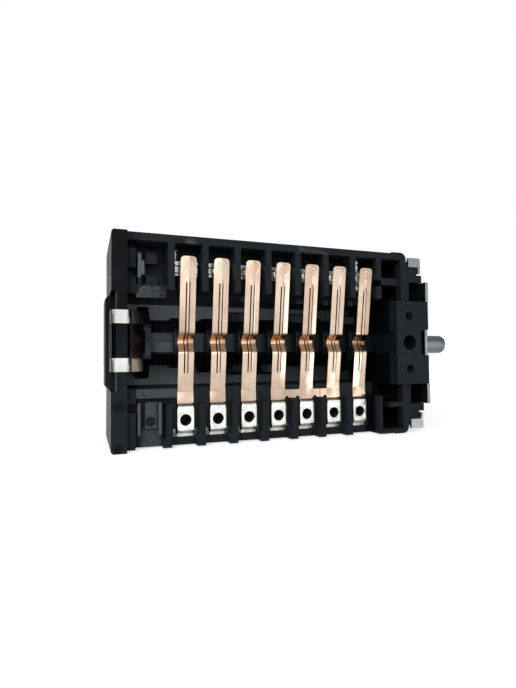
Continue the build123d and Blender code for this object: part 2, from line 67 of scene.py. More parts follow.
# Camera at the photograph's viewing angle, with its focal length and picture height in pixels
FOCAL_LENGTH = 469.5
PICTURE_HEIGHT = 688.0
SENSOR_HEIGHT = 36.0
CAMERA_PLACE = (-99.19, -132.72, -5.22)
camera_right = Vector((0.93919, -0.34328, -0.00889))
camera_up = Vector((-0.00409, -0.03708, 0.99930))
camera_data = bpy.data.cameras.new("camera")
camera_data.sensor_fit = "VERTICAL"
camera_data.sensor_height = SENSOR_HEIGHT
camera_data.lens = SENSOR_HEIGHT * FOCAL_LENGTH / PICTURE_HEIGHT
camera_data.clip_start = 0.01
camera = bpy.data.objects.new("camera", camera_data)
scene.collection.objects.link(camera)
turn = Matrix((camera_right, camera_up, camera_right.cross(camera_up))).transposed().to_4x4()
camera.matrix_world = Matrix.Translation(Vector(CAMERA_PLACE) * MM) @ turn
scene.camera = camera


# Small helpers for node materials
def material(name):
    made = bpy.data.materials.new(name)
    made.use_nodes = True
    tree = made.node_tree
    return made, tree, tree.nodes["Principled BSDF"]


def object_point(tree, stretch=(1, 1, 1)):
    coords = tree.nodes.new("ShaderNodeTexCoord")
    mapping = tree.nodes.new("ShaderNodeMapping")
    mapping.inputs["Scale"].default_value = stretch
    tree.links.new(coords.outputs["Object"], mapping.inputs["Vector"])
    return mapping.outputs["Vector"]


def place_along(tree, axis):
    """Place along one axis, in metres"""
    split = tree.nodes.new("ShaderNodeSeparateXYZ")
    tree.links.new(object_point(tree), split.inputs[0])
    return split.outputs[axis]


def noise(tree, scale, detail=4.0, rough=0.5, stretch=(1, 1, 1)):
    texture = tree.nodes.new("ShaderNodeTexNoise")
    texture.inputs["Scale"].default_value = scale
    texture.inputs["Detail"].default_value = detail
    texture.inputs["Roughness"].default_value = rough
    tree.links.new(object_point(tree, stretch), texture.inputs["Vector"])
    return texture.outputs["Fac"]


def maths(tree, operation, first, second):
    node = tree.nodes.new("ShaderNodeMath")
    node.operation = operation
    for socket, value in zip(node.inputs, (first, second)):
        if isinstance(value, (int, float)):
            socket.default_value = value
        else:
            tree.links.new(value, socket)
    return node.outputs[0]


def both(tree, first, second):
    return maths(tree, "MULTIPLY", first, second)


def either(tree, first, second):
    """Sum of two masks that don't meet"""
    return maths(tree, "ADD", first, second)


def spread(tree, source, low, high, low_at=0.3, high_at=0.7):
    """Value that goes from low to high while its source goes between two values"""
    node = tree.nodes.new("ShaderNodeMapRange")
    node.inputs["From Min"].default_value = low_at
    node.inputs["From Max"].default_value = high_at
    node.inputs["To Min"].default_value = low
    node.inputs["To Max"].default_value = high
    tree.links.new(source, node.inputs["Value"])
    return node.outputs["Result"]


def levels(tree, mask, outside, inside):
    """Value that is one level where a mask is 0 and another where it is 1"""
    return spread(tree, mask, outside, inside, 0, 1)


def axis_band(tree, axis, start, end):
    """Mask that rises from 0 to 1 between two places along one axis, in millimetres"""
    return spread(tree, place_along(tree, axis), 0, 1, start * MM, end * MM)


def region(tree, soft, **ranges):
    """Mask that is 1 inside a range along each named axis, in millimetres, with a soft border"""
    mask = None
    for axis, (low, high) in ranges.items():
        rise = axis_band(tree, axis, low - soft, low + soft)
        fall = axis_band(tree, axis, high + soft, high - soft)
        band = both(tree, rise, fall)
        mask = band if mask is None else both(tree, mask, band)
    return mask


def steps_along(tree, axis, places):
    """Value that follows a line of (millimetre, level) places along one axis"""
    first, last = places[0][0], places[-1][0]
    source = spread(tree, place_along(tree, axis), 0, 1, first * MM, last * MM)
    node = tree.nodes.new("ShaderNodeFloatCurve")
    curve = node.mapping.curves[0]
    for index, (place, level) in enumerate(places):
        share = (place - first) / (last - first)
        if index in (0, len(places) - 1):
            curve.points[0 if index == 0 else -1].location = (share, level)
        else:
            curve.points.new(share, level)
    for point in curve.points:
        point.handle_type = "VECTOR"
    node.mapping.update()
    tree.links.new(source, node.inputs["Value"])
    return node.outputs[0]


def ramp(tree, source, low, high, low_at=0.3, high_at=0.7):
    """Colour that goes from low to high while its source goes between two values"""
    node = tree.nodes.new("ShaderNodeValToRGB")
    for end, color, place in zip(node.color_ramp.elements, (low, high), (low_at, high_at)):
        end.position = place
        end.color = (*color, 1)
    tree.links.new(source, node.inputs["Fac"])
    return node.outputs["Color"]


def blended(tree, factor, first, second):
    """First colour where the factor is 0 and second where it is 1"""
    node = tree.nodes.new("ShaderNodeMix")
    node.data_type = "RGBA"
    tree.links.new(factor, node.inputs["Factor"])
    for socket, value in (("A", first), ("B", second)):
        target = [i for i in node.inputs if i.name == socket and i.type == "RGBA"][0]
        if isinstance(value, tuple):
            target.default_value = (*value, 1)
        else:
            tree.links.new(value, target)
    return [o for o in node.outputs if o.type == "RGBA"][0]


def scaled(tree, color, amount):
    """Colour times a value"""
    node = tree.nodes.new("ShaderNodeVectorMath")
    node.operation = "SCALE"
    tree.links.new(color, node.inputs[0])
    tree.links.new(amount, node.inputs["Scale"])
    return node.outputs["Vector"]


def bump(tree, shader, source, strength, distance):
    node = tree.nodes.new("ShaderNodeBump")
    node.inputs["Strength"].default_value = strength
    node.inputs["Distance"].default_value = distance
    tree.links.new(source, node.inputs["Height"])
    tree.links.new(node.outputs["Normal"], shader.inputs["Normal"])


def paint(tree, shader, color):
    tree.links.new(color, shader.inputs["Base Color"])


def plastic(name, colors, roughness, grain, gloss):
    """Moulded plastic between two colours and two roughnesses, with a fine grain"""
    made, tree, shader = material(name)
    tint = ramp(tree, noise(tree, 90, 5, 0.6), *colors)
    paint(tree, shader, tint)
    tree.links.new(spread(tree, noise(tree, 260, 5, 0.6), *roughness), shader.inputs["Roughness"])
    shader.inputs["Specular IOR Level"].default_value = gloss
    shader.inputs["Specular Tint"].default_value = (0.82, 0.95, 1.0, 1)
    bump(tree, shader, noise(tree, 2600, 3, 0.6), grain, 0.06 * MM)
    return made, tree, shader, tint


def metal(name, colors, roughness, stretch, brush, patches=120, fine=900):
    """Metal between two colours, in patches, and two roughnesses, in streaks that the stretch lengthens"""
    made, tree, shader = material(name)
    shader.inputs["Metallic"].default_value = 1.0
    tint = ramp(tree, noise(tree, patches, 5, 0.6), *colors, 0.36, 0.62)
    paint(tree, shader, tint)
    streaks = noise(tree, fine, 4, 0.6, stretch)
    tree.links.new(spread(tree, streaks, *roughness), shader.inputs["Roughness"])
    bump(tree, shader, streaks, brush, 0.02 * MM)
    return made, tree, shader, tint


# Materials of the switch, one function for each slot of the record, with all places in millimetres
def black_moulding():
    """Glass filled nylon of the housing, with paler and scuffed places, painted shade and painted highlights
    """
    colors = ((0.0115, 0.014, 0.0155), (0.0155, 0.019, 0.021))
    made, tree, shader, tint = plastic("black_moulding", colors, (0.36, 0.52), grain=0.35, gloss=0.07)

    # Painted shade: the far end wall is painted darker towards its top, and the hollow at the shaft end is
    # painted dark all over, where shade falls
    painted_lit_mask = maths(tree, "MAXIMUM", axis_band(tree, "Z", 6, -18), axis_band(tree, "X", -90, -86))
    tint = scaled(tree, tint, levels(tree, painted_lit_mask, 0.12, 1))
    shaft_end_painted_shade = region(tree, 0.4, X=(-19.5, -3), Y=(-12, 12.5))
    tint = scaled(tree, tint, levels(tree, shaft_end_painted_shade, 1, 0.2))

    # Painted light: the chamber's back wall is painted paler where the light falls on it, most of all in its
    # upper half, fading away from the shaft
    back_wall_painted_light = region(tree, 0.2, X=(-89.5, -8), Y=(11.1, 12.5), Z=(-12.4, 12.4))
    painted_light_falloff = steps_along(tree, "X", [(-92, 1.0), (-60, 0.9), (-34, 0.5), (-12, 0.15)])
    painted_wall_light = ramp(tree, axis_band(tree, "Z", -5, 5), (0.42, 0.47, 0.49), (0.64, 0.71, 0.74), 0, 1)
    tint = blended(tree, both(tree, back_wall_painted_light, painted_light_falloff), tint, painted_wall_light)

    # Paler places: a paler lip, mottled pads and scuffs, and painted highlights on the two rails and the
    # spare block
    lip = region(tree, 0.15, X=(-87.6, -77.3), Z=(-14.4, -12.0), Y=(-12.3, -11.7))
    # Painted highlights: the rails and the spare block are painted pale where their fronts catch the light
    rail_places = {"Z": (-23.9, -15.2), "Y": (-11.9, -10.2)}
    rail_highlights = either(tree, region(tree, 0.05, X=(-87.25, -86.15), **rail_places),
                   region(tree, 0.05, X=(-81.95, -80.85), **rail_places))
    spare_block_highlight = region(tree, 0.1, X=(-87.2, -85.3), Z=(16.3, 22.6), Y=(-11.7, -11.3))
    pads = either(tree, region(tree, 0.1, X=(-85.2, -82.0), Z=(-22.3, -15.3), Y=(-10.3, -9.9)),
                  region(tree, 0.25, X=(-86.1, -81.0), Z=(-27.2, -22.4), Y=(-9.3, -8.9)))
    mottle = spread(tree, noise(tree, 1500, 5, 0.75), 0.35, 1.0, 0.38, 0.62)
    scuffs = either(tree, region(tree, 0.7, X=(-43.5, -34.2), Z=(25.2, 26.6), Y=(-15.5, -13.6)),
                    region(tree, 0.5, X=(-75.2, -72.8), Z=(25.0, 26.2), Y=(-15.3, -13.8)))
    streaks = spread(tree, noise(tree, 1500, 4, 0.7, (0.12, 1, 1)), 0.1, 1.0, 0.42, 0.6)
    pale_marks_and_painted_highlights = ((lip, (0.058, 0.066, 0.07)),
                     (rail_highlights, (0.095, 0.107, 0.112)),
                     (spare_block_highlight, (0.10, 0.112, 0.118)),
                     (both(tree, pads, mottle), (0.085, 0.094, 0.098)),
                     (both(tree, scuffs, streaks), (0.07, 0.078, 0.082)))
    for mask, color in pale_marks_and_painted_highlights:
        tint = blended(tree, mask, tint, color)
    paint(tree, shader, tint)
    return made


def cap_moulding():
    """Glass filled nylon of the bearing cap, with a rougher and even grain"""
    colors = ((0.003, 0.005, 0.008), (0.0055, 0.0085, 0.0125))
    return plastic("cap_moulding", colors, (0.5, 0.62), grain=0.5, gloss=0.2)[0]


def drum_moulding():
    """Black acetal, with a painted highlight, broken by a fine texture, on one flat beside the detent"""
    colors = ((0.0015, 0.002, 0.0024), (0.004, 0.005, 0.006))
    made, tree, shader, tint = plastic("drum_moulding", colors, (0.24, 0.36), grain=0.25, gloss=0.24)
    # Painted highlight on the front flat beside the detent, fainter on the facet above it
    flat = {"X": (-82.1, -77.2), "Y": (-6.6, -5.8)}
    upper_flat_highlight = maths(tree, "MULTIPLY", region(tree, 0.12, **flat, Z=(0.6, 1.8)), 0.35)
    flat_highlight = either(tree, region(tree, 0.12, **flat, Z=(-3.0, 0.1)), upper_flat_highlight)
    flat_highlight = both(tree, flat_highlight, spread(tree, noise(tree, 1300, 5, 0.75), 0.5, 1.0, 0.38, 0.6))
    paint(tree, shader, blended(tree, flat_highlight, tint, (0.042, 0.048, 0.051)))
    return made


def copper_strip():
    """Copper alloy, with a painted redder reflection on the bend over the drum, and the painted light that
    each slope of the strip catches
    """
    colors = ((0.50, 0.36, 0.27), (0.61, 0.485, 0.385))
    bend = (-2.7, 2.3)
    made, tree, shader, tint = metal("copper_strip", colors, (0.13, 0.21), stretch=(1, 1, 0.05), brush=0.3,
                                     patches=140, fine=2600)
    # Painted reflection: the bend over the drum is painted redder, in patches, for light bounced between its
    # copper flanks
    patches = spread(tree, noise(tree, 1400, 3, 0.6, (1, 0.4, 0.4)), 0.4, 1.0)
    bend_reflection = both(tree, region(tree, 0.15, Z=bend), patches)
    tint = blended(tree, bend_reflection, tint, (0.62, 0.33, 0.17))
    # Painted light and shade on each slope of the strip, and painted shade on the bend of the last leaf
    light = steps_along(tree, "Z", [(-17, 0.55), (-13.4, 0.55), (-12.6, 0.70), (-6, 0.86), (-2.8, 0.86),
                                    (-2.6, 1.0), (-0.7, 1.0), (-0.5, 0.66), (0.5, 0.66), (0.7, 0.44),
                                    (2.3, 0.44), (2.5, 0.61), (18, 0.60), (22, 0.57)])
    last_bend_painted_shade = region(tree, 0.3, X=(-28, -17), Z=bend)
    light = both(tree, light, levels(tree, last_bend_painted_shade, 1.5, 0.75))
    paint(tree, shader, scaled(tree, tint, light))
    return made


def tinned_strip():
    """Tin plated brass, with painted shade at the foot of each terminal and on its wings, but for their rims,
    which are painted lighter as edge highlights
    """
    colors = ((0.58, 0.60, 0.56), (0.90, 0.91, 0.85))
    made, tree, shader, tint = metal("tinned_strip", colors, (0.24, 0.4), stretch=(1, 1, 1), brush=0.4,
                                     patches=650, fine=1500)

    # Distance from the middle of the nearest terminal, counted along X from ten pitches before the first one
    counted = maths(tree, "ADD", place_along(tree, "X"), (10 * PITCH - FIRST_STATION) * MM)
    across = maths(tree, "PINGPONG", counted, PITCH / 2 * MM)
    sides = spread(tree, across, 0, 1, 2.05 * MM, 2.15 * MM)
    # Painted shade on the deeper wings, lifted at their rims as painted highlights, and below the fold at the
    # foot
    wing_shade = both(tree, sides, axis_band(tree, "Z", -22.4, -22.6))
    rim_highlight = both(tree, wing_shade, spread(tree, across, 0, 1, 2.95 * MM, 3.0 * MM))
    shade = maths(tree, "SUBTRACT", wing_shade, maths(tree, "MULTIPLY", rim_highlight, 0.6))
    foot_shade = maths(tree, "MULTIPLY", axis_band(tree, "Z", -23.1, -23.6), 0.35)
    shade = maths(tree, "ADD", shade, foot_shade)
    paint(tree, shader, scaled(tree, tint, levels(tree, shade, 1, 0.1)))
    return made


def silvered_strip():
    """Silver plated brass, darker away from the shaft"""
    colors = ((0.45, 0.46, 0.42), (0.80, 0.80, 0.74))
    made, tree, shader, tint = metal("silvered_strip", colors, (0.22, 0.35), stretch=(0.1, 1, 1), brush=0.2)
    paint(tree, shader, scaled(tree, tint, levels(tree, axis_band(tree, "X", -70, -45), 0.75, 1.2)))
    return made


def silver_contact():
    """Silver alloy of the contact faces"""
    colors = ((0.72, 0.72, 0.69), (0.86, 0.86, 0.83))
    return metal("silver_contact", colors, (0.25, 0.35), stretch=(1, 1, 1), brush=0.2)[0]


def zinc_sheet():
    """Zinc plated sheet, with painted shade on the side towards the housing, and brighter on the lower ear"""
    colors = ((0.25, 0.27, 0.28), (0.33, 0.35, 0.36))
    made, tree, shader, tint = metal("zinc_sheet", colors, (0.35, 0.5), stretch=(1, 1, 0.1), brush=0.35,
                                     patches=420)
    # Painted shade on the face towards the housing
    inner_face_shade = region(tree, 0.05, X=(-2.6, -0.97), Z=(-21.5, 21.5))
    tint = scaled(tree, tint, levels(tree, inner_face_shade, 1, 0.1))
    lower_ear = axis_band(tree, "Z", -22, -23)
    paint(tree, shader, scaled(tree, tint, levels(tree, lower_ear, 1, 1.5)))
    return made


def zinc_shaft():
    """Turned and plated bar, with painted light that makes it paler towards its top"""
    colors = ((0.33, 0.37, 0.42), (0.43, 0.47, 0.52))
    made, tree, shader, tint = metal("zinc_shaft", colors, (0.3, 0.42), stretch=(0.05, 1, 1), brush=0.3)
    light = steps_along(tree, "Z", [(-3.1, 0.3), (-1.2, 0.44), (0.8, 0.68), (3.1, 1.0)])
    paint(tree, shader, scaled(tree, tint, light))
    return made


def spring_steel():
    """Bright rolled steel, with the light that falls off around the clip's bends and into its inner leg"""
    colors = ((0.80, 0.80, 0.77), (0.98, 0.98, 0.94))
    made, tree, shader, tint = metal("spring_steel", colors, (0.16, 0.26), stretch=(1, 1, 0.08), brush=0.2)
    light = steps_along(tree, "X", [(-93.8, 0.04), (-93.3, 0.08), (-92.9, 0.2), (-92.6, 0.4), (-90.2, 0.44),
                                    (-89.9, 0.36), (-89.3, 0.32), (-88.85, 0.05), (-88.55, 0.9), (-86.6, 0.6),
                                    (-85.3, 0.3), (-85.1, 0.3), (-85.0, 1.0), (-84.8, 1.0)])
    tongue = region(tree, 0.15, Z=(-4.4, 4.4), X=(-88.75, -85.2))
    outer_bend = both(tree, axis_band(tree, "X", -93.3, -93.6), axis_band(tree, "Y", -14.6, -14.2))
    hidden = maths(tree, "MAXIMUM", tongue, outer_bend)
    light = both(tree, light, levels(tree, hidden, 1, 0.08))
    paint(tree, shader, scaled(tree, tint, light))
    return made


looks = {"black_moulding": black_moulding(), "cap_moulding": cap_moulding(), "drum_moulding": drum_moulding(),
         "copper_strip": copper_strip(), "tinned_strip": tinned_strip(), "silvered_strip": silvered_strip(),
         "silver_contact": silver_contact(), "zinc_sheet": zinc_sheet(), "zinc_shaft": zinc_shaft(),
         "spring_steel": spring_steel()}
record_slots = {row["node"]: row["material_slot"] for row in frame["record"]["subparts"]}
rotor = ("cam_drum", "detent_star", "drive_shaft")


# Contact leaves, as a fine grid over the front of the strip, with depths counted back from FRONT
STRIP_THICKNESS = 0.4
LEAF_TOP = 21.8
COIN_LOW = 17.6
SLIT_TOP = 15.3
SLIT_LOW = -8.3
CREASE = -13.2
BRIDGE_TOP = -13.4
BRIDGE_LOW = -15.8
LEAF_BASE = -16.55
LEAF_HALF = 2.05
BASE_HALF = 2.15
TIP_CORNER = 0.95
MIDDLE_HALF = 0.26
SLIT_HALF = 0.6
BUTTON_HEIGHT = 19.8
BRIDGE_DEPTH = 4.95
NOTCH_RADIUS = 0.55
SEAM_HALF = 0.07
leaf_side = [(-0.3, LEAF_TOP), (0.202, 18.4), (0.644, SLIT_TOP), (2.5, 2.4), (4.6, 0.65), (4.75, 0.0),
             (4.6, -0.65), (3.4, -2.75), (4.22, SLIT_LOW), (BRIDGE_DEPTH, CREASE), (BRIDGE_DEPTH, BRIDGE_TOP),
             (BRIDGE_DEPTH, BRIDGE_LOW), (BRIDGE_DEPTH, -16.2), (5.3, LEAF_BASE), (9.0, LEAF_BASE)]
leaf_columns = [0, 0.09, 0.17, MIDDLE_HALF, 0.34, 0.43, 0.515, SLIT_HALF]
leaf_columns += [SLIT_HALF + 0.1 * k for k in range(1, 15)] + [LEAF_HALF]
leaf_columns = [-x for x in reversed(leaf_columns[1:])] + leaf_columns


def bent_line(corners, radius, steps):
    """Points along a folded line, with each fold rounded"""
    points = [corners[0]]
    for before, corner, after in zip(corners, corners[1:], corners[2:]):
        into = (corner - before).length
        out = (after - corner).length
        reach = min(radius, 0.45 * into, 0.45 * out)
        start = corner + (before - corner) * (reach / into)
        stop = corner + (after - corner) * (reach / out)
        for step in range(steps + 1):
            t = step / steps
            points.append(start * (1 - t) ** 2 + corner * (2 * t * (1 - t)) + stop * t ** 2)
    points.append(corners[-1])
    return points


def filled_line(points, longest):
    """The same line with more points, none further apart than a length that depends on the height"""
    filled = [points[0]]
    for start, stop in zip(points, points[1:]):
        count = max(1, math.ceil((stop - start).length / longest((start.y + stop.y) / 2)))
        for step in range(count):
            filled.append(start.lerp(stop, (step + 1) / count))
    return filled


def leaf_rows():
    """Points down the side view of a leaf, close together on the coin mark"""
    folds = bent_line([Vector(point) for point in leaf_side], 0.34, 4)
    return filled_line(folds, lambda z: 0.1 if z > COIN_LOW else 0.7)


def clamped(value):
    return min(1, max(0, value))


def half_width(z):
    """Half the width of a leaf at one height, with round corners at the tip"""
    above = z - (LEAF_TOP - TIP_CORNER)
    if above > 0:
        return LEAF_HALF - TIP_CORNER + math.sqrt(max(0, TIP_CORNER ** 2 - above ** 2))
    return LEAF_HALF if z > CREASE + 0.15 else BASE_HALF


def coin_relief(x, z, columns):
    """Depth of the stamped ring, the raised face inside it and its dimples, around the contact button"""
    ring_radius, ring_width, ring_rise = 1.4, 0.12, 0.007
    face_rise, face_border = 0.012, 0.05
    dimple_depth, dimple_width, dimple_height = 0.12, 0.13, 0.1
    outside = math.hypot(x, z - BUTTON_HEIGHT) - ring_radius
    relief = -ring_rise * math.exp(-(outside / ring_width) ** 2)
    relief -= face_rise / (1 + math.exp(outside / face_border))
    for column in columns:
        for row in (-0.62, 0, 0.62):
            away = ((x - column) / dimple_width) ** 2 + ((z - BUTTON_HEIGHT - row) / dimple_height) ** 2
            relief += dimple_depth * math.exp(-away)
    return relief


def leaf_depth(x, z, depth, columns):
    """Depth of the front face, with the raised middle strip, the crowned halves and the coin mark"""
    run_out = 0.5
    strip_half, strip_rise = 0.3, 0.11
    lip_width, lip_rise = 0.6, 0.05
    crown_round, crown_fall = 0.25, 0.09
    beside_slits = clamped(min((SLIT_TOP - z) / run_out + 1, (z - SLIT_LOW) / run_out + 1))
    crown = math.hypot(x, crown_round) - crown_round
    if abs(x) < strip_half:
        slope = 0.14 - (x + strip_half)
        depth -= strip_rise * beside_slits
        crown += beside_slits * (slope - crown)
    else:
        depth -= lip_rise * beside_slits * max(0, 1 - (abs(x) - strip_half) / lip_width)
    above_base = clamped((z + 15.5) / 4)
    depth += crown_fall * above_base * crown
    if z > COIN_LOW:
        depth += coin_relief(x, z, columns)
    return depth


def leaf_front(work, member, rows):
    """Grid over the front of one leaf, open at its two slits"""
    centre = stations[member - 1]
    columns = (-0.6, 0, 0.6) if member in (1, 2, 5, 7) else (-0.5, 0.5)
    grid = []
    for row in rows:
        share = half_width(row.y) / LEAF_HALF
        line = []
        for x in leaf_columns:
            depth = leaf_depth(x * share, row.y, row.x, columns)
            line.append(work.verts.new(((centre + x * share) * MM, (FRONT + depth) * MM, row.y * MM)))
        grid.append(line)
    for i, (upper_flat_highlight, lower) in enumerate(zip(grid, grid[1:])):
        z = (rows[i].y + rows[i + 1].y) / 2
        for j, (left, right) in enumerate(zip(leaf_columns, leaf_columns[1:])):
            in_slit = MIDDLE_HALF < abs(left + right) / 2 < SLIT_HALF
            if not (in_slit and SLIT_LOW < z < SLIT_TOP):
                work.faces.new((upper_flat_highlight[j], lower[j], lower[j + 1], upper_flat_highlight[j + 1]))


def bridge_front(work, start, stop, notches, heights):
    """Grid over the front of a bridge between leaves, with round notches in its lower edge"""
    count = math.ceil((stop - start) / 0.1)
    previous = None
    for k in range(count + 1):
        x = start + (stop - start) * k / count
        low = BRIDGE_LOW
        for notch in notches:
            if abs(x - notch) < NOTCH_RADIUS:
                low = BRIDGE_LOW + math.sqrt(NOTCH_RADIUS ** 2 - (x - notch) ** 2)
        line = []
        for z in heights:
            share = (z - BRIDGE_LOW) / (BRIDGE_TOP - BRIDGE_LOW)
            place = (x * MM, (FRONT + BRIDGE_DEPTH) * MM, (low + share * (BRIDGE_TOP - low)) * MM)
            line.append(work.verts.new(place))
        if previous:
            for j in range(len(line) - 1):
                work.faces.new((previous[j], previous[j + 1], line[j + 1], line[j]))
        previous = line


def leaf_spring(name, members, bridges):
    """One strip with one or more leaves and the bridges between them"""
    work = bmesh.new()
    rows = leaf_rows()
    for member in members:
        leaf_front(work, member, rows)
    heights = [row.y for row in rows
               if BRIDGE_LOW - 0.01 < row.y < BRIDGE_TOP + 0.01 and abs(row.x - BRIDGE_DEPTH) < 0.001]
    for start, stop, notches in bridges:
        bridge_front(work, start, stop, notches, heights)
    bmesh.ops.remove_doubles(work, verts=work.verts, dist=0.004 * MM)
    bmesh.ops.recalc_face_normals(work, faces=work.faces)
    if sum(face.normal.y for face in work.faces) > 0:
        bmesh.ops.reverse_faces(work, faces=work.faces)
    mesh = bpy.data.meshes.new("leaf_spring_" + name)
    work.to_mesh(mesh)
    work.free()
    mesh.materials.append(looks["copper_strip"])
    mesh.shade_smooth()
    piece = bpy.data.objects.new("leaf_" + name, mesh)
    scene.collection.objects.link(piece)
    thick = piece.modifiers.new("thickness", "SOLIDIFY")
    thick.thickness = STRIP_THICKNESS * MM
    thick.offset = -1
    rounded = piece.modifiers.new("edges", "BEVEL")
    rounded.width = 0.045 * MM
    rounded.segments = 2
    rounded.limit_method = "ANGLE"
    rounded.angle_limit = math.radians(60)
    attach(piece, "switch_body")
    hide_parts("leaf_spring_" + name)


# Leaves 4 and 5 are one strip, whose second bridge ends at a seam against the stub of leaf 6
NOTCH_INSET = BASE_HALF + 0.6
x4, x5, x6 = stations[3:6]
seam = (x5 + x6) / 2
notches_4, notches_5 = [(x + NOTCH_INSET, x + PITCH - NOTCH_INSET) for x in (x4, x5)]
bridge_4 = (x4 + BASE_HALF, x5 - BASE_HALF, notches_4)
bridge_5 = (x5 + BASE_HALF, seam - SEAM_HALF, notches_5)
stub_6 = (seam + SEAM_HALF, x6 - BASE_HALF, notches_5)
strips = (("1", (1,), ()),
          ("2", (2,), ()),
          ("3", (3,), ()),
          ("4_5", (4, 5), (bridge_4, bridge_5)),
          ("6", (6,), (stub_6,)),
          ("7", (7,), ()))
for name, members, bridges in strips:
    leaf_spring(name, members, bridges)


# Rigid parts, as copies with rounded edges. The rounding of each slot is in millimetres
softness = {"black_moulding": 0.09, "cap_moulding": 0.12, "zinc_sheet": 0.12, "spring_steel": 0.06,
            "drum_moulding": 0.12, "zinc_shaft": 0.08, "tinned_strip": 0.07, "silvered_strip": 0.06}


def bevel(work, edges, width, segments, clamp):
    bmesh.ops.bevel(work, geom=edges, offset=width * MM, offset_type="OFFSET", segments=segments, profile=0.5,
                    affect="EDGES", clamp_overlap=clamp)


def soften(work, width):
    """Round the edges whose two faces meet at an angle between a shallow bend and a fold back"""
    least, most = math.radians(16), math.radians(120)
    edges = []
    for edge in work.edges:
        if len(edge.link_faces) == 2 and least < edge.calc_face_angle() < most:
            edges.append(edge)
    bevel(work, edges, width, 2, True)


def soften_corners(work, chosen, width):
    """Round the corners that run across the part, where the test is true of both their ends"""
    edges = []
    for edge in work.edges:
        line = edge.verts[1].co - edge.verts[0].co
        if abs(line.y) > 0.9 * line.length and all(chosen(vert.co) for vert in edge.verts):
            edges.append(edge)
    bevel(work, edges, width, 4, False)


def by_an_ear(place):
    """True at the corners beside the bracket's two folded ears"""
    return abs(place.z) > 22 * MM and place.x > -2.2 * MM


def rounded_copy(name, look, width):
    """Copy of a rigid part with its edges and bends rounded, which stands for that part"""
    mesh = nodes[name].data.copy()
    work = bmesh.new()
    work.from_mesh(mesh)
    bmesh.ops.remove_doubles(work, verts=work.verts, dist=0.002 * MM)
    bmesh.ops.dissolve_limit(work, angle_limit=math.radians(0.6), verts=work.verts, edges=work.edges)
    if name == "mounting_bracket":
        soften_corners(work, by_an_ear, 1.0)
    soften(work, width)
    bmesh.ops.triangulate(work, faces=[face for face in work.faces if len(face.verts) > 4])
    work.to_mesh(mesh)
    work.free()
    mesh.materials.clear()
    mesh.materials.append(look)
    piece = bpy.data.objects.new(name + "_piece", mesh)
    scene.collection.objects.link(piece)
    mesh.shade_smooth()
    mesh.set_sharp_from_angle(angle=math.radians(50))
    weighted = piece.modifiers.new("weighted", "WEIGHTED_NORMAL")
    weighted.mode = "FACE_AREA"
    weighted.weight = 60
    weighted.keep_sharp = True
    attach(piece, "rotor" if name in rotor else "switch_body")
    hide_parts(name)


for name, node in nodes.items():
    look = looks[record_slots[name]]
    node.data.materials.clear()
    node.data.materials.append(look)
    if record_slots[name] in softness:
        rounded_copy(name, look, softness[record_slots[name]])


# Marks of the moulding: rough scars, ejector discs and a thin ridge, set on the surface that carries them
def add_piece(name, verts, faces, look, smooth=True):
    mesh = bpy.data.meshes.new(name)
    mesh.from_pydata([[value * MM for value in vert] for vert in verts], [], faces)
    mesh.materials.append(look)
    if smooth:
        mesh.shade_smooth()
    piece = bpy.data.objects.new(name, mesh)
    scene.collection.objects.link(piece)
    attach(piece, "switch_body")


def scar(name, x, z, depth, relief, grain, look, step=0.11, square=2):
    """Rough patch between two x and two z places on a face at one depth, sunk into it at its border"""
    sunk = 0.03
    columns = max(4, round((x[1] - x[0]) / step))
    rows = max(4, round((z[1] - z[0]) / step))
    verts = []
    for i in range(rows + 1):
        for j in range(columns + 1):
            u, v = j / columns, i / rows
            place = Vector((x[0] + u * (x[1] - x[0]), 0, z[0] + v * (z[1] - z[0])))
            away = (abs(2 * u - 1) ** square + abs(2 * v - 1) ** square) ** (1 / square)
            rim = 3 * (1 - away) + 0.5 * mathnoise.noise(place * 0.9 + Vector((3, 1, 2)))
            if i in (0, rows) or j in (0, columns):
                rim = 0
            slant = Vector((place.x + 0.6 * place.z, 0, place.z * 0.6 - 0.4 * place.x))
            height = mathnoise.turbulence(slant * grain, 3, True) * relief * clamped(rim)
            verts.append((place.x, FRONT + depth - height + sunk, place.z))
    faces = []
    for i in range(rows):
        for j in range(columns):
            a = i * (columns + 1) + j
            faces.append((a, a + 1, a + columns + 2, a + columns + 1))
    add_piece(name, verts, faces, look, step < 0.2)


def disc(name, x, z, radius, depth, look):
    """Round mark that stands a hair proud of its face"""
    sides, proud, sunk = 32, 0.02, -0.01
    verts = [(x, FRONT + depth - proud, z)]
    rings = ((0.86, proud), (1, proud), (1.02, sunk))
    for share, rise in rings:
        for k in range(sides):
            angle = math.radians(k * 360 / sides)
            verts.append((x + share * radius * math.cos(angle), FRONT + depth - rise,
                          z + share * radius * math.sin(angle)))
    faces = [(0, 1 + (k + 1) % sides, 1 + k) for k in range(sides)]
    for ring in range(len(rings) - 1):
        for k in range(sides):
            a, b = 1 + sides * ring + k, 1 + sides * ring + (k + 1) % sides
            faces.append((a, b, b + sides, a + sides))
    add_piece(name, verts, faces, look)


def ridge(name, line, depth, half, height, look):
    """Thin ridge along a line of x, z places on a face at one depth"""
    sunk = -0.02
    profile = ((-1, sunk), (-0.35, height), (0.35, height), (1, sunk))
    verts, faces = [], []
    for i, (x, z) in enumerate(line):
        before, after = Vector(line[max(0, i - 1)]), Vector(line[min(len(line) - 1, i + 1)])
        along = (after - before).normalized()
        side = Vector((-along.y, along.x)) * half
        for share, rise in profile:
            verts.append((x + share * side.x, FRONT + depth - rise, z + share * side.y))
    for i in range(len(line) - 1):
        for k in range(3):
            a = 4 * i + k
            faces.append((a, a + 1, a + 5, a + 4))
    add_piece(name, verts, faces, look)


